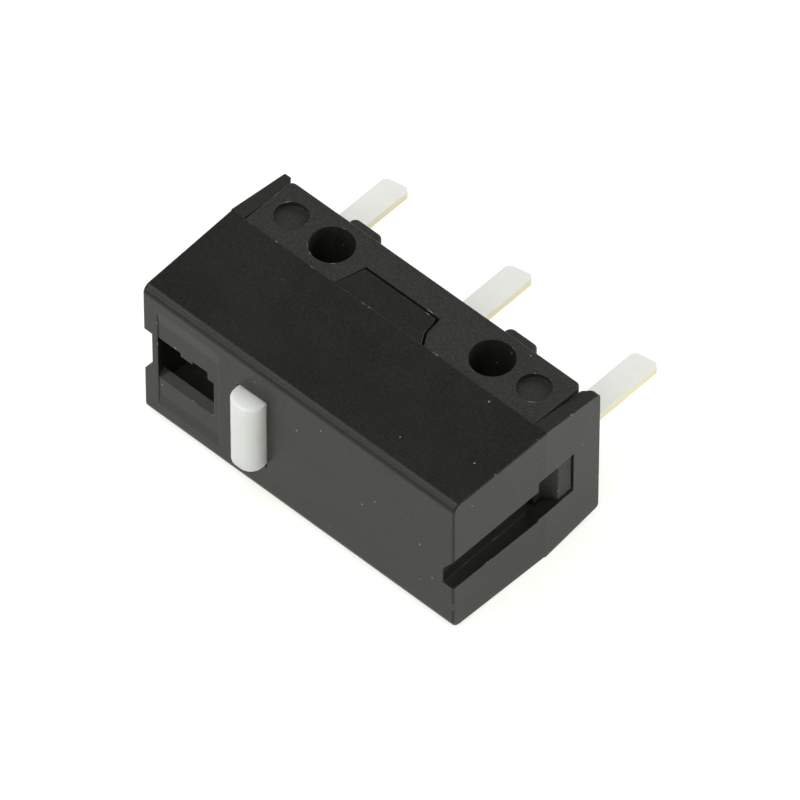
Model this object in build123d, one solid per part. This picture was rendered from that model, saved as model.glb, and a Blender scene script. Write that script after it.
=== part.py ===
from build123d import *
import os

# Ultra-subminiature snap-action switch, lying on one broad side.
# X runs along the body, +Y from the plunger face to the terminals, +Z is up.
# The origin is midway between the two mounting holes, on the side it lies on.
# Everything is modelled about the mid-plane z = 0 and lifted by half the
# body thickness when it is written.  All sizes are millimetres.

# ---- body envelope -------------------------------------------------------
body_length = 12.8          # over the shoulder line, the longest section
body_thickness = 5.8        # over the shoulder line, the thickest section
body_height = 6.05          # terminal side of the base to the plunger face
base_distance = 1.05        # hole line to the terminal side of the base
shoulder_distance = 1.05    # hole line to the end of the cover's broad walls
rim_distance = 1.33         # hole line to the end of the cover's end walls
face_inset_x = 0.09         # draft: the plunger face inside the shoulder line
face_inset_z = 0.09
rim_inset_x = 0.03          # fall from the shoulder line to the rim
rim_inset_z = 0.3
face_edge_radius = 0.3      # long edges of the plunger face
rim_corner_radius = 0.15    # corners of the end walls, at the rim
rim_lead_width = 0.27       # lead-in that guides the base between the end walls
rim_lead_length = 0.33
arris_radius = 0.07         # small rounding of the other moulded edges

# ---- mounting holes ------------------------------------------------------
hole_pitch = 6.5
hole_diameter = 1.45

# ---- cover ---------------------------------------------------------------
face_wall = 0.5             # wall that the plunger passes through
side_wall = 0.5             # broad walls
end_wall = 0.49             # end walls beside the base block
chamber_end_wall = 0.7      # end walls beside the mechanism

tongue_left_land = 0.35     # side tongue, from the left hole's edge to its root
tongue_right_land = 1.17    # and from its root to the right hole's edge
tongue_reach = 1.02         # length past the shoulder
tongue_left_slant = 0.3     # how much each flank closes in, root to tip
tongue_right_slant = 0.36
tongue_knee_reach = 0.43    # the right flank bends here
tongue_knee_slant = 0.27
tongue_thickness = 0.4
tongue_corner_radius = 0.07

window_rise = 0.33          # latch windows, from the shoulder towards the face
window_length = 1.56
window_height = 1.7
right_channel_upper = 0.33  # right end channel: upper edge above the mid-plane
right_channel_lower = 0.93  # lower edge below the mid-plane
right_channel_inner = 0.26  # upper edge of its floor, below the mid-plane
right_channel_depth = 0.41
left_channel_upper = 0.91   # left end channel: upper edge above the mid-plane
left_channel_lower = 0.96   # lower edge below the mid-plane
left_channel_inner = 0.4    # lower edge of its floor, below the mid-plane
left_channel_depth = 0.36

pocket_margin = 0.59        # actuator pocket, from the left end of the face
pocket_land = 1.04          # from the pocket to the plunger
pocket_height = 1.84
pocket_depth = 1.15
pocket_lip = 0.31           # thickness of the wall that the pocket opens behind
pocket_lip_rise = 0.22      # how far its lower lip climbs inwards
pocket_undercut = 0.35
pocket_backing = 0.3        # wall behind and beside the pocket
pocket_corner_length = 0.25
pocket_corner_height = 0.3
pocket_tab_offset = 0.93    # tab in the upper edge of the mouth
pocket_tab_length = 0.47
pocket_tab_height = 0.14
panel_land = 0.21           # shallow panel, from the pocket towards the plunger
panel_margin = 0.75         # from the broad sides
panel_depth = 0.03
panel_ramp = 0.5            # length over which it runs out, above and below

# ---- base ----------------------------------------------------------------
base_side_step = 0.03       # how far the block lies inside the shoulder
base_corner_radius = 0.2
end_gap = 0.03              # block end to cover end wall
seat_gap = 0.02             # block to the cover's shoulder edge
plug_gap = 0.05             # plug to chamber walls
deck_rise = 0.3             # plug height above the shoulder line
rail_height = 0.6
rail_width = 0.4
foot_width = 1.2
foot_rise = 0.33
foot_shift = 0.1            # foot centres, inside the hole centres
foot_offset = 0.15          # both feet, towards the right end
foot_inset = 0.15           # foot ends, inside the block's broad sides
foot_corner_radius = 0.22   # the corners that meet the board's edge first
foot_end_radius = 0.08
recess_margin = 0.4         # round moulding recesses, from the hole and the end
recess_depth = 0.18
tongue_gap = 0.1            # round the tongue's tip and right flank
tongue_tight_gap = 0.03     # along its left flank and under it

nub_height = 0.45           # latch nubs, out from the block's ends
nub_ramp = 0.3              # length of the ramp that the cover rides over
nub_flat = 0.58
nub_gap = 0.05              # catch face to window edge
nub_side_gap = 0.08

# ---- terminals -----------------------------------------------------------
pin_margin = 1.32           # outer pins, from the body's ends
pin_width = 0.9
pin_length = 3.42           # past the feet
pin_tip_chamfer = 0.14      # left corner of the tip
pin_tip_slant = 0.12        # how far the right corner of the cropped tip stands proud
metal_thickness = 0.3
post_width = 1.4            # posts and arms, across the body
bend_radius = 0.12          # inside the bends

# ---- snap spring and contacts -------------------------------------------
spring_thickness = 0.08
spring_width = 2.4
spring_anchor_margin = 0.28  # leaf past the anchor tab
spring_contact_margin = 0.08  # leaf past the contact
spring_corner_radius = 0.25
tab_width = 0.9             # anchor tab that holds the leaf
tab_rise = 0.25
tab_gap = 0.04
snap_tongue_width = 0.9     # curved tongue of the leaf
snap_tongue_slot = 0.15     # slot on each side of it
snap_tongue_land = 0.8      # where it leaves the leaf, from the contact
snap_tongue_drop = 0.5      # leaf to the notch that holds its tip
tension_post_land = 0.7     # plunger to the tension post
tension_post_gap = 0.17     # under the leaf
notch_depth = 0.1
notch_gap = 0.02

contact_diameter = 1.1
contact_land = 0.23         # contacts to the normally closed post
contact_shank = 0.5
contact_head = 0.32
contact_crown = 0.06
contact_gap = 0.25          # open gap between moving and fixed contact
touch_gap = 0.01            # closed pair, so that the solids stay apart
fixed_contact_head = 0.2
rivet_gap = 0.01

# ---- plunger -------------------------------------------------------------
plunger_x = -1.85
plunger_width = 1.1
plunger_length = 2.88
plunger_rise = 0.63         # above the plunger face, free position
plunger_crown_radius = 0.46  # rounding along both long sides of its top
plunger_end_radius = 0.07
plunger_gap = 0.05
flange_margin_x = 0.35      # flange inside the cover, past the plunger
flange_margin_z = 0.41
flange_thickness = 0.45
flange_corner_radius = 0.2
flange_gap = 0.02
nose_width = 0.7            # the part that presses the leaf
nose_length = 1.6
nose_tip_radius = 0.2
nose_gap = 0.02

# ---- levels and places worked out from the above --------------------------
half_length = body_length / 2
half_thickness = body_thickness / 2
face_y = base_distance - body_height
face_half_x = half_length - face_inset_x
shoulder_y = -shoulder_distance
inner_face_y = face_y + face_wall
chamber_half_x = half_length - chamber_end_wall
chamber_half_z = half_thickness - side_wall
mouth_half_x = half_length - end_wall
block_half_x = mouth_half_x - end_gap
block_half_z = half_thickness - base_side_step
plug_half_x = chamber_half_x - plug_gap
plug_half_z = chamber_half_z - plug_gap
deck_y = shoulder_y - deck_rise
neck_y = shoulder_y + seat_gap
window_start_y = shoulder_y - window_rise
window_end_y = window_start_y + window_length
nub_end_y = window_end_y - nub_gap
hole_edge_x = (hole_pitch + hole_diameter) / 2
hole_land_x = (hole_pitch - hole_diameter) / 2
foot_end_y = base_distance + foot_rise
pin_end_y = foot_end_y + pin_length
pin_pitch = half_length - pin_margin
half_metal = metal_thickness / 2
spring_top_y = (inner_face_y + deck_y) / 2
spring_under_y = spring_top_y + spring_thickness
closed_post_x = pin_pitch + pin_width / 2 - half_metal
contact_x = closed_post_x - half_metal - contact_land - contact_diameter / 2
tension_post_x = plunger_x + tension_post_land
open_face_y = spring_under_y + contact_head + contact_gap
open_arm_y = open_face_y + fixed_contact_head + half_metal
closed_face_y = spring_top_y - contact_head - touch_gap
closed_arm_y = closed_face_y - fixed_contact_head - half_metal
over = 1.0                  # how far a cutting tool runs past what it cuts


def span(x0, x1, y0, y1, z0, z1):
    """A rectangular solid between two corners."""
    middle = ((x0 + x1) / 2, (y0 + y1) / 2, (z0 + z1) / 2)
    return Pos(*middle) * Box(x1 - x0, y1 - y0, z1 - z0)


def across(points, half):
    """A profile in the XY plane, extruded the same way to both sides."""
    return extrude(make_face(Polyline(*points, close=True)), amount=half, both=True)


def rectangle_at(y, length, thickness):
    """A rectangle across the body, at one place along Y."""
    return Plane(origin=(0, y, 0), x_dir=(1, 0, 0), z_dir=(0, 1, 0)) * Rectangle(length, thickness)


def rod(x, y0, y1, diameter):
    """A round bar along Y."""
    return Pos(x, (y0 + y1) / 2, 0) * Rot(90, 0, 0) * Cylinder(diameter / 2, y1 - y0)


# ---- cover -----------------------------------------------------------------
def cover_envelope():
    """Two drafted blocks that meet at the shoulder line, with rounded edges."""
    at_face = rectangle_at(face_y, 2 * face_half_x, body_thickness - 2 * face_inset_z)
    at_shoulder = rectangle_at(shoulder_y, body_length, body_thickness)
    at_rim = rectangle_at(rim_distance, body_length - 2 * rim_inset_x, body_thickness - 2 * rim_inset_z)
    front = loft([at_face, at_shoulder], ruled=True)
    back = loft([at_shoulder, at_rim], ruled=True)
    front = fillet(front.edges().filter_by(Axis.X).group_by(Axis.Y)[0], face_edge_radius)
    outlines = [e for e in front.edges() if abs(e.center().X) > face_half_x - arris_radius
                and e.center().Y < shoulder_y - arris_radius]
    back = fillet(back.edges().filter_by(Axis.X).group_by(Axis.Y)[-1], rim_corner_radius)
    return fillet(outlines, arris_radius) + back


def side_tongue(left=0.0, right=0.0, tip=0.0, thickness=tongue_thickness, lift=0.0):
    """The tongue on the upper broad side, or the recess that takes it."""
    root_y = shoulder_y - face_edge_radius
    tip_y = shoulder_y + tongue_reach + tip
    left_x = tongue_left_land - hole_land_x - left
    right_x = hole_land_x - tongue_right_land + right
    outline = make_face(Polyline(
        (left_x, root_y),
        (left_x, shoulder_y),
        (left_x + tongue_left_slant, tip_y),
        (right_x - tongue_right_slant, tip_y),
        (right_x - tongue_knee_slant, shoulder_y + tongue_knee_reach),
        (right_x, shoulder_y),
        (right_x, root_y),
        close=True,
    ))
    corner = outline.vertices().group_by(Axis.Y)[-1].sort_by(Axis.X)[-1]
    outline = fillet(corner, tongue_corner_radius)
    return extrude(Pos(0, 0, block_half_z - tongue_thickness + lift) * outline, amount=thickness)


def end_channel(section, end_y):
    """A channel in one end, from the plunger face to the latch window."""
    frame = Plane(origin=(0, face_y - over, 0), x_dir=(1, 0, 0), z_dir=(0, -1, 0))
    return extrude(frame * make_face(Polyline(*section, close=True)), amount=face_y - over - end_y)


def latch_cuts():
    """Channels from the plunger face to the latch windows in both ends."""
    window = span(chamber_half_x - over, half_length + over, window_start_y, window_end_y,
                  -window_height / 2, window_height / 2)
    floor_x = face_half_x - right_channel_depth
    slope = (right_channel_upper + right_channel_inner) / right_channel_depth
    right = end_channel([
        (floor_x, -right_channel_inner),
        (face_half_x + over, right_channel_upper + slope * over),
        (face_half_x + over, -right_channel_lower),
        (floor_x, -right_channel_lower),
    ], window_start_y)
    floor_x = -face_half_x + left_channel_depth
    slope = (left_channel_lower - left_channel_inner) / left_channel_depth
    left = end_channel([
        (floor_x, left_channel_upper),
        (-face_half_x - over, left_channel_upper),
        (-face_half_x - over, -left_channel_lower - slope * over),
        (floor_x, -left_channel_inner),
    ], window_start_y)
    return [window, mirror(window, about=Plane.YZ), right, left]


def pocket_ends():
    """Both ends of the actuator pocket, along X."""
    return -face_half_x + pocket_margin, plunger_x - plunger_width / 2 - pocket_land


def pocket_wall():
    """The wall that closes the actuator pocket off from the mechanism."""
    x1 = pocket_ends()[1]
    bottom = -pocket_height / 2 - pocket_undercut - pocket_backing
    return span(-chamber_half_x, x1 + pocket_backing, inner_face_y - arris_radius,
                face_y + pocket_depth + pocket_backing, bottom, pocket_height / 2 + pocket_backing)


def shallow_panel(x0, x1):
    """The shallow step round the pocket, which runs out above and below."""
    high = half_thickness - panel_margin
    low = high - panel_ramp
    profile = Plane.YZ * make_face(Polyline(
        (face_y - over, high), (face_y, high), (face_y + panel_depth, low),
        (face_y + panel_depth, -low), (face_y, -high), (face_y - over, -high), close=True,
    ))
    return Pos(x0, 0, 0) * extrude(profile, amount=x1 - x0)


def pocket_cuts():
    """Mouth and undercut of the actuator pocket, and the panel round it."""
    x0, x1 = pocket_ends()
    top = pocket_height / 2
    lip_y = face_y + pocket_lip
    floor_y = face_y + pocket_depth
    profile = Plane.YZ * make_face(Polyline(
        (face_y - over, top), (floor_y, top), (floor_y, -top - pocket_undercut),
        (lip_y, -top - pocket_undercut), (lip_y, -top + pocket_lip_rise),
        (face_y, -top), (face_y - over, -top), close=True,
    ))
    pocket = Pos(x0, 0, 0) * extrude(profile, amount=x1 - x0)
    corner = span(x1 - pocket_corner_length, x1, face_y - over, lip_y, top - pocket_corner_height, top)
    tab_x = x0 + pocket_tab_offset
    tab = span(tab_x, tab_x + pocket_tab_length, face_y - over, lip_y, top - pocket_tab_height, top)
    return [pocket - corner - tab, shallow_panel(x0, x1 + panel_land)]


def base_mouth():
    """The space for the base block, flared at the rim of both end walls."""
    lead_y = rim_distance - rim_lead_length
    flare_x = mouth_half_x + rim_lead_width
    return across([
        (-mouth_half_x, shoulder_y),
        (mouth_half_x, shoulder_y),
        (mouth_half_x, lead_y),
        (flare_x, rim_distance),
        (flare_x, rim_distance + over),
        (-flare_x, rim_distance + over),
        (-flare_x, rim_distance),
        (-mouth_half_x, lead_y),
    ], half_thickness + over)


def make_cover():
    chamber = span(-chamber_half_x, chamber_half_x, inner_face_y, rim_distance + over,
                   -chamber_half_z, chamber_half_z)
    tongue = side_tongue()
    shell = cover_envelope() - chamber - base_mouth()
    shell = shell + pocket_wall() + tongue + mirror(tongue, about=Plane.XY)
    slot_x = plunger_width / 2 + plunger_gap
    slot_z = plunger_length / 2 + plunger_gap
    shell = shell - span(plunger_x - slot_x, plunger_x + slot_x, face_y - over, inner_face_y + over,
                         -slot_z, slot_z)
    for cut in latch_cuts() + pocket_cuts():
        shell = shell - cut
    return shell


# ---- base ------------------------------------------------------------------
def latch_nub():
    """The nub on the right end that catches in the cover's window."""
    top_x = block_half_x + nub_height
    flat_y = nub_end_y - nub_flat
    profile = [
        (plug_half_x, flat_y - nub_ramp),
        (block_half_x, flat_y - nub_ramp),
        (top_x, flat_y),
        (top_x, nub_end_y),
        (plug_half_x, nub_end_y),
    ]
    return across(profile, window_height / 2 - nub_side_gap)


def base_foot(x):
    """One of the two feet that stand on the circuit board."""
    foot_half_z = block_half_z - foot_inset
    foot = span(x - foot_width / 2, x + foot_width / 2, base_distance - foot_rise, foot_end_y,
                -foot_half_z, foot_half_z)
    foot = fillet(foot.edges().filter_by(Axis.Z).group_by(Axis.Y)[-1], foot_corner_radius)
    return fillet(foot.faces().sort_by(Axis.Y)[-1].edges(), foot_end_radius)


def base_block():
    block = span(-block_half_x, block_half_x, neck_y, base_distance, -block_half_z, block_half_z)
    block = fillet(block.edges().filter_by(Axis.Z).group_by(Axis.Y)[-1], base_corner_radius)
    return fillet(block.faces().sort_by(Axis.Y)[-1].edges(), arris_radius)


def base_cuts():
    """Mounting holes, moulding recesses and the sockets of the side tongues."""
    cuts = []
    recess_x = (hole_edge_x + block_half_x) / 2
    recess_radius = (block_half_x - hole_edge_x) / 2 - recess_margin
    for side in (-1, 1):
        cuts.append(Pos(side * hole_pitch / 2, 0, 0) * Cylinder(hole_diameter / 2, body_thickness + over))
        cuts.append(Pos(side * recess_x, 0, block_half_z) * Cylinder(recess_radius, 2 * recess_depth))
    socket = side_tongue(tongue_tight_gap, tongue_gap, tongue_gap, tongue_thickness + over, -tongue_tight_gap)
    return cuts + [socket, mirror(socket, about=Plane.XY)]


def make_base(metal):
    plug = span(-plug_half_x, plug_half_x, deck_y, 0, -plug_half_z, plug_half_z)
    rail = span(-plug_half_x, plug_half_x, deck_y - rail_height, deck_y,
                plug_half_z - rail_width, plug_half_z)
    pad = span(contact_x - contact_diameter / 2, contact_x + contact_diameter / 2,
               open_arm_y + half_metal, deck_y, -post_width / 2, post_width / 2)
    nub = latch_nub()
    solid = base_block() + plug + pad
    solid = solid + rail + mirror(rail, about=Plane.XY)
    solid = solid + nub + mirror(nub, about=Plane.YZ)
    foot_x = hole_pitch / 2 - foot_shift
    solid = solid + base_foot(foot_offset - foot_x) + base_foot(foot_offset + foot_x)
    for cut in base_cuts() + metal:
        solid = solid - cut
    return solid


# ---- terminals ---------------------------------------------------------------
def pin(x):
    """A flat pin through the base, its tip chamfered and cropped at a slant."""
    half = pin_width / 2
    return across([
        (x - half, neck_y),
        (x + half, neck_y),
        (x + half, pin_end_y),
        (x + half - pin_tip_slant, pin_end_y + pin_tip_slant),
        (x - half + pin_tip_chamfer, pin_end_y),
        (x - half, pin_end_y - pin_tip_chamfer),
    ], half_metal)


def bent_strip(*line_points):
    """A strip of sheet metal bent along a line in the XY plane."""
    path = FilletPolyline(*line_points, radius=bend_radius + half_metal)
    start = Plane(origin=path @ 0, x_dir=(0, 0, 1), z_dir=path % 0)
    return sweep(start * Rectangle(post_width, metal_thickness), path=path)


def rivet_bore(y):
    """The hole that a contact's shank goes through."""
    return rod(contact_x, y - over, y + over, contact_shank + 2 * rivet_gap)


def make_common():
    """Pin, post and anchor tab at one end of the leaf, arm and tension post."""
    post = span(-pin_pitch - half_metal, -pin_pitch + half_metal, spring_under_y, neck_y,
                -post_width / 2, post_width / 2)
    tab = span(-pin_pitch - half_metal, -pin_pitch + half_metal, spring_top_y - tab_rise, spring_under_y,
               -tab_width / 2, tab_width / 2)
    arm_y = deck_y - half_metal
    arm = bent_strip((-pin_pitch, arm_y), (tension_post_x, arm_y),
                     (tension_post_x, spring_under_y + tension_post_gap))
    notch_x = tension_post_x + half_metal - notch_depth
    notch_y = spring_top_y + snap_tongue_drop
    notch = across([
        (notch_x, notch_y),
        (notch_x + over, notch_y - over),
        (notch_x + over, notch_y + over),
    ], post_width)
    return pin(-pin_pitch) + post + tab + arm - notch


def make_normally_open():
    post_x = pin_width / 2 - half_metal
    strip = bent_strip((post_x, neck_y), (post_x, open_arm_y), (contact_x + contact_diameter / 2, open_arm_y))
    return pin(0) + strip - rivet_bore(open_arm_y)


def make_normally_closed():
    end_x = contact_x - contact_diameter / 2
    strip = bent_strip((closed_post_x, neck_y), (closed_post_x, closed_arm_y), (end_x, closed_arm_y))
    return pin(pin_pitch) + strip - rivet_bore(closed_arm_y)


# ---- snap spring ---------------------------------------------------------------
def leaf_plate(x0, x1, width):
    """A flat piece of the leaf, at the leaf's own level."""
    return span(x0, x1, spring_top_y, spring_under_y, -width / 2, width / 2)


def snap_tongue(start_x):
    """The curved tongue, from the leaf down to the notch of the tension post."""
    middle_y = spring_top_y + spring_thickness / 2
    tip_x = tension_post_x + half_metal - notch_depth + notch_gap + spring_thickness / 2
    tip_y = spring_top_y + snap_tongue_drop
    drop = tip_y - middle_y
    radius = ((start_x - tip_x) ** 2 + drop ** 2) / (2 * drop)
    arc = RadiusArc((tip_x, tip_y), (start_x, middle_y), radius)
    start = Plane(origin=arc @ 0, x_dir=(0, 0, 1), z_dir=arc % 0)
    return sweep(start * Rectangle(snap_tongue_width, spring_thickness), path=arc)


def make_snap_spring():
    start_x = -pin_pitch - half_metal - spring_anchor_margin
    end_x = contact_x + contact_diameter / 2 + spring_contact_margin
    leaf = leaf_plate(start_x, end_x, spring_width)
    leaf = fillet(leaf.edges().filter_by(Axis.Y), spring_corner_radius)
    tongue_x = contact_x - contact_diameter / 2 - snap_tongue_land
    slot = leaf_plate(tension_post_x - half_metal - snap_tongue_slot, tongue_x,
                      snap_tongue_width + 2 * snap_tongue_slot)
    tab_hole = leaf_plate(-pin_pitch - half_metal - tab_gap, -pin_pitch + half_metal + tab_gap,
                          tab_width + 2 * tab_gap)
    return leaf - slot - tab_hole - rivet_bore(spring_top_y) + snap_tongue(tongue_x)


# ---- contacts --------------------------------------------------------------------
def crowned_head(base_y, direction):
    """A contact head with a slightly crowned face, standing on base_y."""
    rim = (contact_x + contact_diameter / 2, base_y + direction * (contact_head - contact_crown))
    crown = (contact_x, base_y + direction * contact_head)
    sides = Polyline(crown, (contact_x, base_y), (rim[0], base_y), rim)
    profile = make_face(sides + TangentArc(crown, rim, tangent=(1, 0)))
    return revolve(profile, axis=Axis((contact_x, 0, 0), (0, 1, 0)))


def make_moving_contact():
    shank = rod(contact_x, spring_top_y, spring_under_y, contact_shank)
    return crowned_head(spring_top_y, -1) + shank + crowned_head(spring_under_y, 1)


def fixed_contact(contact_face_y, arm_y):
    """A flat-faced contact, its shank riveted through the arm."""
    direction = 1 if arm_y > contact_face_y else -1
    seat_y = arm_y - direction * half_metal
    back_y = arm_y + direction * half_metal
    head = rod(contact_x, min(contact_face_y, seat_y), max(contact_face_y, seat_y), contact_diameter)
    return head + rod(contact_x, min(seat_y, back_y), max(seat_y, back_y), contact_shank)


# ---- plunger ---------------------------------------------------------------------
def plunger_nose(root_y):
    """The rounded bar that presses the leaf."""
    tip_y = spring_top_y - nose_gap
    shoulder = tip_y - nose_tip_radius
    sides = Polyline((plunger_x - nose_tip_radius, shoulder), (plunger_x - nose_width / 2, root_y),
                     (plunger_x + nose_width / 2, root_y), (plunger_x + nose_tip_radius, shoulder))
    tip = ThreePointArc((plunger_x + nose_tip_radius, shoulder), (plunger_x, tip_y),
                        (plunger_x - nose_tip_radius, shoulder))
    return extrude(make_face(sides + tip), amount=nose_length / 2, both=True)


def make_plunger():
    flange_top = inner_face_y + flange_gap
    flange_under = flange_top + flange_thickness
    flange_half_x = plunger_width / 2 + flange_margin_x
    flange_half_z = plunger_length / 2 + flange_margin_z
    button = span(plunger_x - plunger_width / 2, plunger_x + plunger_width / 2, face_y - plunger_rise,
                  flange_under, -plunger_length / 2, plunger_length / 2)
    button = fillet(button.edges().filter_by(Axis.Z).group_by(Axis.Y)[0], plunger_crown_radius)
    ends = [e for e in button.edges() if abs(e.center().Z) > plunger_length / 2 - plunger_gap
            and e.center().Y < flange_under - plunger_gap]
    button = fillet(ends, plunger_end_radius)
    flange = span(plunger_x - flange_half_x, plunger_x + flange_half_x, flange_top, flange_under,
                  -flange_half_z, flange_half_z)
    flange = fillet(flange.edges().filter_by(Axis.Y), flange_corner_radius)
    return button + flange + plunger_nose(flange_under - flange_thickness / 2)


# ---- write the pieces --------------------------------------------------------------
terminals = {
    "common_terminal": make_common(),
    "normally_open_terminal": make_normally_open(),
    "normally_closed_terminal": make_normally_closed(),
}
pieces = {
    "cover": make_cover(),
    "base": make_base(list(terminals.values())),
    "plunger": make_plunger(),
    **terminals,
    "snap_spring": make_snap_spring(),
    "moving_contact": make_moving_contact(),
    "normally_open_contact": fixed_contact(open_face_y, open_arm_y),
    "normally_closed_contact": fixed_contact(closed_face_y, closed_arm_y),
}

os.makedirs("parts", exist_ok=True)
for name, shape in pieces.items():
    export_step(Pos(0, 0, half_thickness) * shape, f"parts/{name}.step")
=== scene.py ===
"""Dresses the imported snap-action switch and sets it on a pale studio floor."""
import math

import bpy
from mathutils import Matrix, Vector


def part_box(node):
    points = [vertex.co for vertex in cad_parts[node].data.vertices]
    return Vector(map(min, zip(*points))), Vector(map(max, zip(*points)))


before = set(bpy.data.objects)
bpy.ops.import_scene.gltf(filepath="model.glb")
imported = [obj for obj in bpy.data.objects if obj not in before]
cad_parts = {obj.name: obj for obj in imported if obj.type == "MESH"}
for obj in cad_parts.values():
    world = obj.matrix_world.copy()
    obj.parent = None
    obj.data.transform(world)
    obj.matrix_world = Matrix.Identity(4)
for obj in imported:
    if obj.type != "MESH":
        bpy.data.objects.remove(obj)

bl_info = {
    "name": "Snap-Action Switch Dresser",
    "version": (1, 0, 0),
    "blender": (4, 5, 0),
    "location": "View3D > Sidebar > Switch",
    "description": "Finishes a small snap-action switch and sets it in a studio",
    "category": "Object",
}

MM = 0.001
COVER_LOW, COVER_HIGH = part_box("cover")
MID_LEVEL = (COVER_LOW[2] + COVER_HIGH[2]) / 2

TERMINALS = ("common_terminal", "normally_open_terminal", "normally_closed_terminal")
CONTACTS = ("moving_contact", "normally_open_contact", "normally_closed_contact")

# greys painted on every black moulding: pale glints on the arrises, which are painted highlights,
# and dust
GLINT_GREY = "#8e8d86"
DUST_GREY = "#8a887e"

# lamps: name, place in mm, the way the back points, size in mm, power setting
LAMPS = (
    ("Overhead soft box", (-60, -150, 300), (0, 0, 1), (320, 300), "box_power"),
    ("Front window", (-132, -242, 123), (-0.44, -0.81, 0.4), (110, 130), "window_power"),
    ("Back light", (90, 250, 130), (0.35, 0.8, 0.45), (200, 120), "back_power"),
)
# the room's axis from the front wall to the rear one
REAR_AXIS = (0.7, 0.71, 0.0)
BENCH_REACH = 600 * MM


# ---- helpers -----------------------------------------------------------------
def linear(code, gain=1.0):
    """Turns an sRGB hex colour into the linear colour that a shader takes."""
    channels = [int(code[i:i + 2], 16) / 255 for i in (1, 3, 5)]
    lin = [c / 12.92 if c <= 0.04045 else ((c + 0.055) / 1.055) ** 2.4 for c in channels]
    return (*(gain * c for c in lin), 1.0)


def add_node(tree, kind, settings=None, sockets=None, links=None):
    """Adds a node, gives it its settings and socket values, and links its inputs."""
    node = tree.nodes.new(kind)
    for key, value in (settings or {}).items():
        setattr(node, key, value)
    for key, value in (sockets or {}).items():
        node.inputs[key].default_value = value
    for key, source in (links or {}).items():
        tree.links.new(source, node.inputs[key])
    return node


def new_material(name):
    """Starts an empty node material and gives back its tree and output."""
    material = bpy.data.materials.new(name)
    material.use_nodes = True
    material.node_tree.nodes.clear()
    output = add_node(material.node_tree, "ShaderNodeOutputMaterial")
    return material, material.node_tree, output


def dress(node, material):
    """Puts a finish on a CAD node, through its material slots."""
    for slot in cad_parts[node].material_slots:
        slot.material = material


def need_nodes(*names):
    """Stops the script if a piece that a step finishes isn't in the frame."""
    missing = [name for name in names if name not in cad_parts]
    if missing:
        raise RuntimeError("pieces missing from the frame: " + ", ".join(missing))


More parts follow.
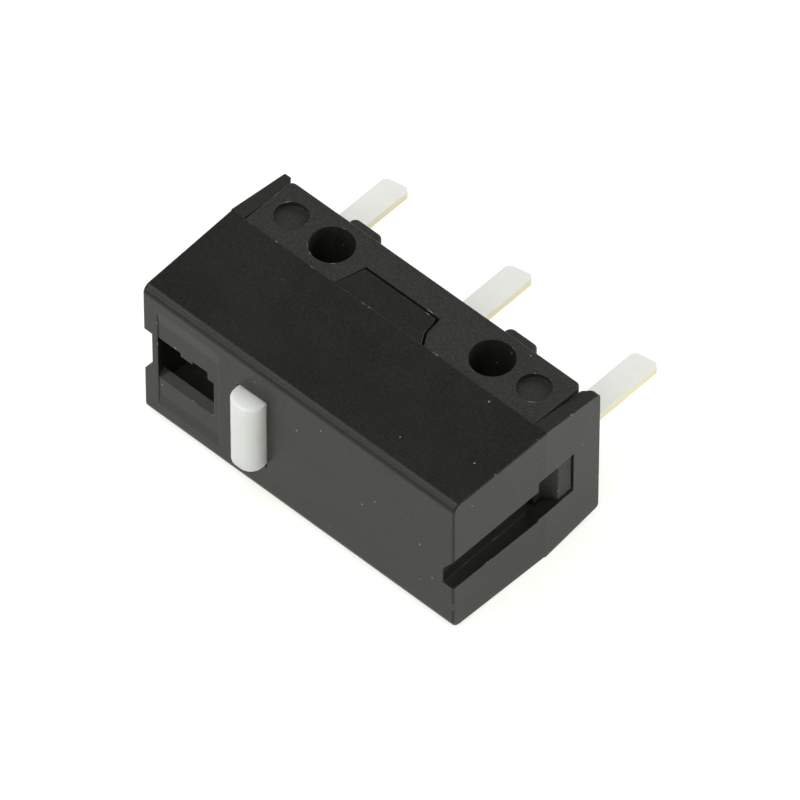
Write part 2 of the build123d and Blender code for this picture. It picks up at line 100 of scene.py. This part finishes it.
# ---- finishes ----------------------------------------------------------------
def moulded_polyester(name, colour, recess_fill_colour, pit, pit_depth, roughness, shine, edge_wear_highlight_gain):
    """Black glass-filled polyester, injection moulded in a spark-eroded tool.

    Its skin is satin: it mirrors a pale bench only at a low angle, so faces that
    look down on the bench are the lighter ones.  Edges are paler, partly rubbed by
    handling and partly a painted highlight; short painted glints lie on the arrises.
    """
    material, tree, output = new_material(name)
    place = add_node(tree, "ShaderNodeTexCoord")
    shape = add_node(tree, "ShaderNodeNewGeometry")
    # moulded edges are never sharp: 0.04 mm of rounding catches the light
    edge = add_node(tree, "ShaderNodeBevel", {"samples": 6}, {"Radius": 0.04 * MM})
    turn = add_node(tree, "ShaderNodeVectorMath", {"operation": "DOT_PRODUCT"},
                    links={0: edge.outputs[0], 1: shape.outputs["True Normal"]})
    edge_wear_and_highlight = add_node(tree, "ShaderNodeMapRange", {"interpolation_type": "SMOOTHSTEP"},
                    {"From Min": 0.99, "From Max": 0.8},
                    {"Value": turn.outputs["Value"]})
    # spark-eroded pits, drawn about twice as coarse as real so that they show
    grain = add_node(tree, "ShaderNodeTexNoise", {},
                     {"Scale": 1 / pit, "Detail": 3.0, "Roughness": 0.65},
                     {"Vector": place.outputs["Object"]})
    pits = add_node(tree, "ShaderNodeTexVoronoi", {"feature": "SMOOTH_F1"},
                    {"Scale": 1 / (1.6 * pit), "Smoothness": 0.6},
                    {"Vector": place.outputs["Object"]})
    # glass fibre and flow marks cloud the skin over a few millimetres
    cloud = add_node(tree, "ShaderNodeTexNoise", {},
                     {"Scale": 1 / (2.4 * MM), "Detail": 4.0, "Roughness": 0.55, "Distortion": 0.6},
                     {"Vector": place.outputs["Object"]})
    relief = add_node(tree, "ShaderNodeMath", {"operation": "MULTIPLY_ADD"}, {1: 0.6},
                      {0: pits.outputs["Distance"], 2: grain.outputs["Fac"]})
    bump = add_node(tree, "ShaderNodeBump", {}, {"Strength": 0.55, "Distance": pit_depth},
                    {"Height": relief.outputs[0], "Normal": edge.outputs[0]})
    speckle = add_node(tree, "ShaderNodeMapRange", {},
                       {"From Min": 0.38, "From Max": 0.62, "To Max": 0.65},
                       {"Value": grain.outputs["Fac"]})
    mottle = add_node(tree, "ShaderNodeMath", {"operation": "MULTIPLY_ADD"}, {1: 0.35},
                      {0: cloud.outputs["Fac"], 2: speckle.outputs[0]})
    tone = add_node(tree, "ShaderNodeMix", {"data_type": "RGBA"},
                    {6: linear(colour, 0.55), 7: linear(colour, 1.85)}, {0: mottle.outputs[0]})
    # rubbed wear and painted highlight: turned edges get a brighter copy of the colour
    rubbed_and_lit_edge = add_node(tree, "ShaderNodeMix", {"data_type": "RGBA"}, {7: linear(colour, edge_wear_highlight_gain)},
                      {0: edge_wear_and_highlight.outputs[0], 6: tone.outputs[2]})
    # painted glints: short lengths of every arris, about 0.4 mm long, are painted pale as
    # highlights; a turn as slight as that between the facets of a bore isn't taken for an arris
    glint_noise = add_node(tree, "ShaderNodeTexNoise", {},
                    {"Scale": 1 / (0.45 * MM), "Detail": 3.0, "Roughness": 0.7},
                    {"Vector": place.outputs["Object"]})
    glint_patch = add_node(tree, "ShaderNodeMapRange", {}, {"From Min": 0.6, "From Max": 0.68},
                   {"Value": glint_noise.outputs["Fac"]})
    arris = add_node(tree, "ShaderNodeMapRange", {}, {"From Min": 0.9975, "From Max": 0.985},
                     {"Value": turn.outputs["Value"]})
    painted_glint = add_node(tree, "ShaderNodeMath", {"operation": "MULTIPLY"}, {},
                     {0: glint_patch.outputs[0], 1: arris.outputs[0]})
    glinted = add_node(tree, "ShaderNodeMix", {"data_type": "RGBA"}, {7: linear(GLINT_GREY)},
                       {0: painted_glint.outputs[0], 6: rubbed_and_lit_edge.outputs[2]})
    # dust: specks of 0.05 mm lie about 2 mm apart on every side
    motes = add_node(tree, "ShaderNodeTexVoronoi", {}, {"Scale": 1 / (0.9 * MM)},
                     {"Vector": place.outputs["Object"]})
    dust = add_node(tree, "ShaderNodeMapRange", {}, {"From Min": 0.045, "From Max": 0.02},
                    {"Value": motes.outputs["Distance"]})
    dusty = add_node(tree, "ShaderNodeMix", {"data_type": "RGBA"}, {7: linear(DUST_GREY)},
                     {0: dust.outputs[0], 6: glinted.outputs[2]})
    # painted fill light: deep recesses get one even paler colour in place of specks, paler edges
    # and glints
    recess_occlusion = add_node(tree, "ShaderNodeAmbientOcclusion", {"samples": 6}, {"Distance": 1.0 * MM})
    fill_light_mask = add_node(tree, "ShaderNodeMapRange", {}, {"From Min": 0.68, "From Max": 0.3},
                    {"Value": recess_occlusion.outputs["AO"]})
    recess_fill_light = add_node(tree, "ShaderNodeMix", {"data_type": "RGBA"}, {7: linear(recess_fill_colour)},
                         {0: fill_light_mask.outputs[0], 6: dusty.outputs[2]})
    satin = add_node(tree, "ShaderNodeMapRange", {},
                     {"From Min": 0.3, "From Max": 0.7,
                      "To Min": roughness - 0.05, "To Max": roughness + 0.06},
                     {"Value": cloud.outputs["Fac"]})
    # the pits scatter part of the gloss, so shine lies below the usual 0.5
    skin = add_node(tree, "ShaderNodeBsdfPrincipled", {},
                    {"IOR": 1.5, "Specular IOR Level": shine, "Specular Tint": linear("#fffdf6")},
                    {"Base Color": recess_fill_light.outputs[2], "Roughness": satin.outputs[0],
                     "Normal": bump.outputs[0]})
    tree.links.new(skin.outputs[0], output.inputs["Surface"])
    return material


def moulded_acetal(colour, streak_colour):
    """Natural acetal, moulded: milky, a little waxy, lit from within.

    Drawing the core out of the tool leaves faint streaks along its length.
    """
    material, tree, output = new_material("Natural acetal moulded")
    place = add_node(tree, "ShaderNodeTexCoord")
    edge = add_node(tree, "ShaderNodeBevel", {"samples": 6}, {"Radius": 0.05 * MM})
    stretch = add_node(tree, "ShaderNodeMapping", {}, {"Scale": (1.0, 1.0, 0.06)},
                       {"Vector": place.outputs["Object"]})
    # draw streaks about 0.08 mm apart
    streaks = add_node(tree, "ShaderNodeTexNoise", {},
                       {"Scale": 1 / (0.08 * MM), "Detail": 2.0, "Roughness": 0.5},
                       {"Vector": stretch.outputs[0]})
    haze = add_node(tree, "ShaderNodeTexNoise", {}, {"Scale": 1 / (0.9 * MM), "Detail": 2.0},
                    {"Vector": place.outputs["Object"]})
    blend = add_node(tree, "ShaderNodeMath", {"operation": "MULTIPLY"}, {},
                     {0: streaks.outputs["Fac"], 1: haze.outputs["Fac"]})
    tone = add_node(tree, "ShaderNodeMix", {"data_type": "RGBA"},
                    {6: linear(colour), 7: linear(streak_colour)}, {0: blend.outputs[0]})
    bump = add_node(tree, "ShaderNodeBump", {}, {"Strength": 0.25, "Distance": 0.004 * MM},
                    {"Height": streaks.outputs["Fac"], "Normal": edge.outputs[0]})
    gloss = add_node(tree, "ShaderNodeMapRange", {}, {"To Min": 0.3, "To Max": 0.42},
                     {"Value": streaks.outputs["Fac"]})
    # light wanders as far as the plunger is wide, and its blue part the least
    skin = add_node(tree, "ShaderNodeBsdfPrincipled", {},
                    {"IOR": 1.48, "Subsurface Weight": 1.0, "Subsurface Scale": 1.8 * MM,
                     "Subsurface Radius": (1.0, 0.93, 0.72)},
                    {"Base Color": tone.outputs[2], "Roughness": gloss.outputs[0],
                     "Normal": bump.outputs[0]})
    tree.links.new(skin.outputs[0], output.inputs["Surface"])
    return material


def plated_strip(plate_colour, brass_colour):
    """Brass strip, silver plated before it was blanked.

    The rolled faces are satin silver with fine rolling lines along the pin; the
    blanked edges show brass, smooth where the punch sheared and torn below.
    """
    material, tree, output = new_material("Silver-plated brass strip blanked")
    place = add_node(tree, "ShaderNodeTexCoord")
    shape = add_node(tree, "ShaderNodeNewGeometry")
    edge = add_node(tree, "ShaderNodeBevel", {"samples": 6}, {"Radius": 0.03 * MM})
    facing = add_node(tree, "ShaderNodeSeparateXYZ", {}, {}, {0: shape.outputs["True Normal"]})
    flat = add_node(tree, "ShaderNodeMath", {"operation": "ABSOLUTE"}, {}, {0: facing.outputs["Z"]})
    cut = add_node(tree, "ShaderNodeMapRange", {}, {"From Min": 0.7, "From Max": 0.4},
                   {"Value": flat.outputs[0]})
    stretch = add_node(tree, "ShaderNodeMapping", {}, {"Scale": (1.0, 0.08, 1.0)},
                       {"Vector": place.outputs["Object"]})
    # rolling lines, drawn 0.05 mm apart because the real ones are too fine to show
    lines = add_node(tree, "ShaderNodeTexNoise", {}, {"Scale": 1 / (0.05 * MM), "Detail": 2.0},
                     {"Vector": stretch.outputs[0]})
    bloom = add_node(tree, "ShaderNodeTexNoise", {},
                     {"Scale": 1 / (0.6 * MM), "Detail": 3.0, "Roughness": 0.6},
                     {"Vector": place.outputs["Object"]})
    plate = add_node(tree, "ShaderNodeMix", {"data_type": "RGBA"},
                     {6: linear(plate_colour), 7: linear(plate_colour, 0.88)},
                     {0: bloom.outputs["Fac"]})
    brass = add_node(tree, "ShaderNodeMix", {"data_type": "RGBA"},
                     {6: linear(brass_colour), 7: linear(brass_colour, 0.8)},
                     {0: lines.outputs["Fac"]})
    tone = add_node(tree, "ShaderNodeMix", {"data_type": "RGBA"}, {},
                    {0: cut.outputs[0], 6: plate.outputs[2], 7: brass.outputs[2]})
    bump = add_node(tree, "ShaderNodeBump", {}, {"Strength": 0.3, "Distance": 0.003 * MM},
                    {"Height": lines.outputs["Fac"], "Normal": edge.outputs[0]})
    satin = add_node(tree, "ShaderNodeMapRange", {}, {"To Min": 0.5, "To Max": 0.65},
                     {"Value": bloom.outputs["Fac"]})
    # the plate has dulled in the air: about half its light comes back matt
    skin = add_node(tree, "ShaderNodeBsdfPrincipled", {}, {"Metallic": 0.45},
                    {"Base Color": tone.outputs[2], "Roughness": satin.outputs[0],
                     "Normal": bump.outputs[0]})
    tree.links.new(skin.outputs[0], output.inputs["Surface"])
    return material


def spring_copper(colour):
    """Beryllium copper leaf, rolled hard: warm, bright, with lines along the leaf."""
    material, tree, output = new_material("Beryllium copper rolled")
    place = add_node(tree, "ShaderNodeTexCoord")
    stretch = add_node(tree, "ShaderNodeMapping", {}, {"Scale": (0.05, 1.0, 1.0)},
                       {"Vector": place.outputs["Object"]})
    lines = add_node(tree, "ShaderNodeTexNoise", {}, {"Scale": 1 / (0.05 * MM), "Detail": 3.0},
                     {"Vector": stretch.outputs[0]})
    tone = add_node(tree, "ShaderNodeMix", {"data_type": "RGBA"},
                    {6: linear(colour), 7: linear(colour, 0.75)},
                    {0: lines.outputs["Fac"]})
    bump = add_node(tree, "ShaderNodeBump", {}, {"Strength": 0.3, "Distance": 0.002 * MM},
                    {"Height": lines.outputs["Fac"]})
    satin = add_node(tree, "ShaderNodeMapRange", {}, {"To Min": 0.25, "To Max": 0.4},
                     {"Value": lines.outputs["Fac"]})
    skin = add_node(tree, "ShaderNodeBsdfPrincipled", {}, {"Metallic": 1.0},
                    {"Base Color": tone.outputs[2], "Roughness": satin.outputs[0],
                     "Normal": bump.outputs[0]})
    tree.links.new(skin.outputs[0], output.inputs["Surface"])
    return material


def contact_silver(colour):
    """Fine silver contacts, cold headed: a soft grey shine with fine dents from the header."""
    material, tree, output = new_material("Fine silver cold headed")
    place = add_node(tree, "ShaderNodeTexCoord")
    cells = add_node(tree, "ShaderNodeTexVoronoi", {}, {"Scale": 1 / (0.12 * MM)},
                     {"Vector": place.outputs["Object"]})
    haze = add_node(tree, "ShaderNodeTexNoise", {}, {"Scale": 1 / (0.3 * MM), "Detail": 3.0},
                    {"Vector": place.outputs["Object"]})
    tone = add_node(tree, "ShaderNodeMix", {"data_type": "RGBA"},
                    {6: linear(colour), 7: linear(colour, 0.7)},
                    {0: haze.outputs["Fac"]})
    bump = add_node(tree, "ShaderNodeBump", {}, {"Strength": 0.3, "Distance": 0.003 * MM},
                    {"Height": cells.outputs["Distance"]})
    satin = add_node(tree, "ShaderNodeMapRange", {}, {"To Min": 0.25, "To Max": 0.45},
                     {"Value": haze.outputs["Fac"]})
    skin = add_node(tree, "ShaderNodeBsdfPrincipled", {}, {"Metallic": 1.0},
                    {"Base Color": tone.outputs[2], "Roughness": satin.outputs[0],
                     "Normal": bump.outputs[0]})
    tree.links.new(skin.outputs[0], output.inputs["Surface"])
    return material


def bench_board(seen_share, seen_level):
    """Matt white bench board, which lights the switch as white paint does.

    What the camera and the reflections see is part paint, which keeps the soft
    shadow, and part plain white.
    """
    material, tree, output = new_material("Matt white bench board")
    ray = add_node(tree, "ShaderNodeLightPath")
    mirrored = add_node(tree, "ShaderNodeMath", {"operation": "MAXIMUM"}, {},
                        {0: ray.outputs["Is Glossy Ray"], 1: ray.outputs["Is Transmission Ray"]})
    seen = add_node(tree, "ShaderNodeMath", {"operation": "MAXIMUM"}, {},
                    {0: ray.outputs["Is Camera Ray"], 1: mirrored.outputs[0]})
    share = add_node(tree, "ShaderNodeMath", {"operation": "MULTIPLY"}, {1: seen_share},
                     {0: seen.outputs[0]})
    paint = add_node(tree, "ShaderNodeBsdfDiffuse", {}, {"Color": linear("#ebebea")})
    white = add_node(tree, "ShaderNodeEmission", {},
                     {"Color": linear("#fffef8"), "Strength": seen_level})
    board = add_node(tree, "ShaderNodeMixShader", {}, {},
                     {0: share.outputs[0], 1: paint.outputs[0], 2: white.outputs[0]})
    tree.links.new(board.outputs[0], output.inputs["Surface"])
    return material


# ---- settings ----------------------------------------------------------------
class SwitchColours(bpy.types.PropertyGroup):
    """Colours of the finished switch, as sRGB hex values"""
    cover: bpy.props.StringProperty(
        name="Cover", description="Moulded cover", default="#161613")
    base: bpy.props.StringProperty(
        name="Base", description="Moulded base, a little paler", default="#1f1f1d")
    # painted fill light: paler colour painted into the deep recesses of the cover
    cover_recess_fill_light: bpy.props.StringProperty(
        name="Cover recesses", description="Painted fill light in the recesses of the cover", default="#3a3933")
    # painted fill light: colour painted into the deep recesses of the base
    base_recess_fill_light: bpy.props.StringProperty(
        name="Base recesses", description="Recesses of the base", default="#20201d")
    plunger: bpy.props.StringProperty(
        name="Plunger", description="Natural acetal", default="#dfe2dc")
    streak: bpy.props.StringProperty(
        name="Streaks", description="Draw streaks in the acetal", default="#cfd2c8")
    plate: bpy.props.StringProperty(
        name="Silver plate", description="Rolled faces of the pins", default="#eeefe9")
    brass: bpy.props.StringProperty(
        name="Brass", description="Blanked edges of the pins", default="#f4eece")
    leaf: bpy.props.StringProperty(
        name="Leaf", description="Spring leaf", default="#d9a066")
    silver: bpy.props.StringProperty(
        name="Contacts", description="Contact heads", default="#e4e2dc")


class SwitchFinish(bpy.types.PropertyGroup):
    """Grain and gloss of the two black mouldings"""
    cover_pit: bpy.props.FloatProperty(
        name="Cover pits", description="Width of the pits in the skin of the cover",
        default=0.07 * MM, precision=6, unit="LENGTH")
    cover_pit_depth: bpy.props.FloatProperty(
        name="Cover pit depth", description="Depth of the pits in the skin of the cover",
        default=0.004 * MM, precision=6, unit="LENGTH")
    cover_roughness: bpy.props.FloatProperty(
        name="Cover roughness", description="Middle roughness of the satin cover",
        default=0.3, min=0.1, max=0.9, subtype="FACTOR")
    base_pit: bpy.props.FloatProperty(
        name="Base pits", description="Width of the pits in the skin of the base",
        default=0.09 * MM, precision=6, unit="LENGTH")
    base_pit_depth: bpy.props.FloatProperty(
        name="Base pit depth", description="Depth of the pits in the skin of the base",
        default=0.012 * MM, precision=6, unit="LENGTH")
    base_roughness: bpy.props.FloatProperty(
        name="Base roughness", description="Middle roughness of the matt base",
        default=0.55, min=0.1, max=0.9, subtype="FACTOR")


class SwitchStudio(bpy.types.PropertyGroup):
    """Camera, lights and bench of the studio"""
    azimuth: bpy.props.FloatProperty(
        name="Azimuth", description="Camera angle round the switch",
        default=math.radians(42.9), subtype="ANGLE")
    elevation: bpy.props.FloatProperty(
        name="Elevation", description="Camera angle above the bench",
        default=math.radians(50.0), subtype="ANGLE")
    distance: bpy.props.FloatProperty(
        name="Distance", description="Camera to the point it looks at",
        default=376.6 * MM, unit="LENGTH")
    aim: bpy.props.FloatVectorProperty(
        name="Aim", description="Point that the camera looks at",
        default=(0.711 * MM, -1.286 * MM, MID_LEVEL), subtype="TRANSLATION")
    lens: bpy.props.FloatProperty(
        name="Lens", description="Focal length of the camera", default=568.15, unit="CAMERA")
    box_power: bpy.props.FloatProperty(
        name="Soft box", description="Power of the overhead soft box",
        default=0.85, unit="POWER")
    window_power: bpy.props.FloatProperty(
        name="Window", description="Power of the low front window",
        default=0.12, unit="POWER")
    back_power: bpy.props.FloatProperty(
        name="Back light", description="Power of the back light", default=0.35, unit="POWER")
    rear_wall: bpy.props.FloatProperty(
        name="Rear wall", description="Level of the wall behind", default=1.0)
    front_wall: bpy.props.FloatProperty(
        name="Front wall", description="Level of the wall in front", default=0.42)
    ceiling: bpy.props.FloatProperty(
        name="Ceiling", description="Level of the dimmer ceiling", default=0.2)
    bench_share: bpy.props.FloatProperty(
        name="Bench white", description="Share of plain white in the bench as it is seen",
        default=0.5, min=0.0, max=1.0, subtype="FACTOR")
    bench_level: bpy.props.FloatProperty(
        name="Bench level", description="Level of that plain white", default=1.42)


# ---- steps -------------------------------------------------------------------
class SWITCH_OT_finish_cover(bpy.types.Operator):
    """Finish the moulded cover"""
    bl_idname = "switch.finish_cover"
    bl_label = "Finish Cover"

    def execute(self, context):
        need_nodes("cover")
        colours, finish = context.scene.switch_colours, context.scene.switch_finish
        dress("cover", moulded_polyester(
            "Black polyester satin moulded", colours.cover, colours.cover_recess_fill_light,
            finish.cover_pit, finish.cover_pit_depth, finish.cover_roughness,
            shine=0.25, edge_wear_highlight_gain=2.2))
        return {"FINISHED"}


class SWITCH_OT_finish_base(bpy.types.Operator):
    """Finish the moulded base"""
    bl_idname = "switch.finish_base"
    bl_label = "Finish Base"

    def execute(self, context):
        need_nodes("base")
        colours, finish = context.scene.switch_colours, context.scene.switch_finish
        dress("base", moulded_polyester(
            "Black polyester matt moulded", colours.base, colours.base_recess_fill_light,
            finish.base_pit, finish.base_pit_depth, finish.base_roughness,
            shine=0.28, edge_wear_highlight_gain=2.0))
        return {"FINISHED"}


class SWITCH_OT_finish_plunger(bpy.types.Operator):
    """Finish the milky plunger"""
    bl_idname = "switch.finish_plunger"
    bl_label = "Finish Plunger"

    def execute(self, context):
        need_nodes("plunger")
        colours = context.scene.switch_colours
        dress("plunger", moulded_acetal(colours.plunger, colours.streak))
        return {"FINISHED"}


class SWITCH_OT_finish_terminals(bpy.types.Operator):
    """Finish the three plated terminals"""
    bl_idname = "switch.finish_terminals"
    bl_label = "Finish Terminals"

    def execute(self, context):
        need_nodes(*TERMINALS)
        colours = context.scene.switch_colours
        strip = plated_strip(colours.plate, colours.brass)
        for name in TERMINALS:
            dress(name, strip)
        return {"FINISHED"}


class SWITCH_OT_finish_mechanism(bpy.types.Operator):
    """Finish the leaf and the contacts"""
    bl_idname = "switch.finish_mechanism"
    bl_label = "Finish Mechanism"

    def execute(self, context):
        need_nodes("snap_spring", *CONTACTS)
        colours = context.scene.switch_colours
        dress("snap_spring", spring_copper(colours.leaf))
        silver = contact_silver(colours.silver)
        for name in CONTACTS:
            dress(name, silver)
        return {"FINISHED"}


class SWITCH_OT_set_stage(bpy.types.Operator):
    """Set the bench, the soft lights and the camera"""
    bl_idname = "switch.set_stage"
    bl_label = "Set Stage"

    def execute(self, context):
        studio = context.scene.switch_studio
        self.lay_bench(context, studio)
        self.light_room(context, studio)
        for name, place_mm, back, size_mm, power in LAMPS:
            self.hang_light(context, name, place_mm, back, size_mm, getattr(studio, power))
        self.place_camera(context, studio)
        context.scene.view_settings.view_transform = "Standard"
        return {"FINISHED"}

    def light_room(self, context, studio):
        """A plain room: pale walls all round, brightest behind, under a dimmer ceiling."""
        world = bpy.data.worlds.new("Plain room")
        world.use_nodes = True
        context.scene.world = world
        tree = world.node_tree
        place = add_node(tree, "ShaderNodeTexCoord")
        rear = add_node(tree, "ShaderNodeVectorMath", {"operation": "DOT_PRODUCT"},
                        {1: REAR_AXIS}, {0: place.outputs["Generated"]})
        wall = add_node(tree, "ShaderNodeMapRange", {},
                        {"From Min": -1.0, "To Min": studio.front_wall, "To Max": studio.rear_wall},
                        {"Value": rear.outputs["Value"]})
        height = add_node(tree, "ShaderNodeSeparateXYZ", {}, {}, {0: place.outputs["Generated"]})
        roof = add_node(tree, "ShaderNodeMapRange", {"interpolation_type": "SMOOTHSTEP"},
                        {"From Min": 0.6, "From Max": 0.88}, {"Value": height.outputs["Z"]})
        room = add_node(tree, "ShaderNodeMix", {}, {3: studio.ceiling},
                        {0: roof.outputs[0], 2: wall.outputs[0]})
        back = tree.nodes["Background"]
        back.inputs["Color"].default_value = (1.0, 1.0, 1.0, 1.0)
        tree.links.new(room.outputs[0], back.inputs["Strength"])

    def lay_bench(self, context, studio):
        """Lays one square board under the switch."""
        mesh = bpy.data.meshes.new("bench")
        corners = [(x * BENCH_REACH, y * BENCH_REACH, 0)
                   for x, y in ((-1, -1), (1, -1), (1, 1), (-1, 1))]
        mesh.from_pydata(corners, [], [(0, 1, 2, 3)])
        mesh.materials.append(bench_board(studio.bench_share, studio.bench_level))
        bench = bpy.data.objects.new("bench", mesh)
        context.scene.collection.objects.link(bench)

    def hang_light(self, context, name, place_mm, back, size_mm, power):
        """Hangs a rectangular lamp that shines away from the direction of its back."""
        light = bpy.data.lights.new(name, "AREA")
        light.shape = "RECTANGLE"
        light.size, light.size_y = size_mm[0] * MM, size_mm[1] * MM
        light.energy = power
        lamp = bpy.data.objects.new(name, light)
        context.scene.collection.objects.link(lamp)
        lamp.location = Vector(place_mm) * MM
        lamp.rotation_mode = "QUATERNION"
        lamp.rotation_quaternion = Vector(back).to_track_quat("Z", "Y")

    def place_camera(self, context, studio):
        """Aims a long lens at the switch from above its plunger side."""
        camera = bpy.data.cameras.new("Camera")
        camera.lens = studio.lens
        camera.sensor_width = 36.0
        camera.clip_start, camera.clip_end = 0.01, 10.0
        eye = bpy.data.objects.new("Camera", camera)
        context.scene.collection.objects.link(eye)
        flat = math.cos(studio.elevation)
        back = Vector((math.sin(studio.azimuth) * flat, -math.cos(studio.azimuth) * flat,
                       math.sin(studio.elevation)))
        eye.location = Vector(studio.aim) + back * studio.distance
        eye.rotation_mode = "QUATERNION"
        eye.rotation_quaternion = back.to_track_quat("Z", "Y")
        context.scene.camera = eye


STEPS = (
    SWITCH_OT_finish_cover,
    SWITCH_OT_finish_base,
    SWITCH_OT_finish_plunger,
    SWITCH_OT_finish_terminals,
    SWITCH_OT_finish_mechanism,
    SWITCH_OT_set_stage,
)


class SWITCH_PT_steps(bpy.types.Panel):
    """Lists the steps that dress the switch"""
    bl_label = "Switch"
    bl_idname = "SWITCH_PT_steps"
    bl_space_type = "VIEW_3D"
    bl_region_type = "UI"
    bl_category = "Switch"

    def draw(self, context):
        for step in STEPS:
            self.layout.operator(step.bl_idname)


CLASSES = (SwitchColours, SwitchFinish, SwitchStudio, *STEPS, SWITCH_PT_steps)


def register():
    for item in CLASSES:
        bpy.utils.register_class(item)
    bpy.types.Scene.switch_colours = bpy.props.PointerProperty(type=SwitchColours)
    bpy.types.Scene.switch_finish = bpy.props.PointerProperty(type=SwitchFinish)
    bpy.types.Scene.switch_studio = bpy.props.PointerProperty(type=SwitchStudio)


def unregister():
    del bpy.types.Scene.switch_studio
    del bpy.types.Scene.switch_finish
    del bpy.types.Scene.switch_colours
    for item in reversed(CLASSES):
        bpy.utils.unregister_class(item)


def main():
    """Runs every step in order."""
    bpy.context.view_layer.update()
    register()
    bpy.ops.switch.finish_cover()
    bpy.ops.switch.finish_base()
    bpy.ops.switch.finish_plunger()
    bpy.ops.switch.finish_terminals()
    bpy.ops.switch.finish_mechanism()
    bpy.ops.switch.set_stage()


if __name__ == "__main__":
    main()
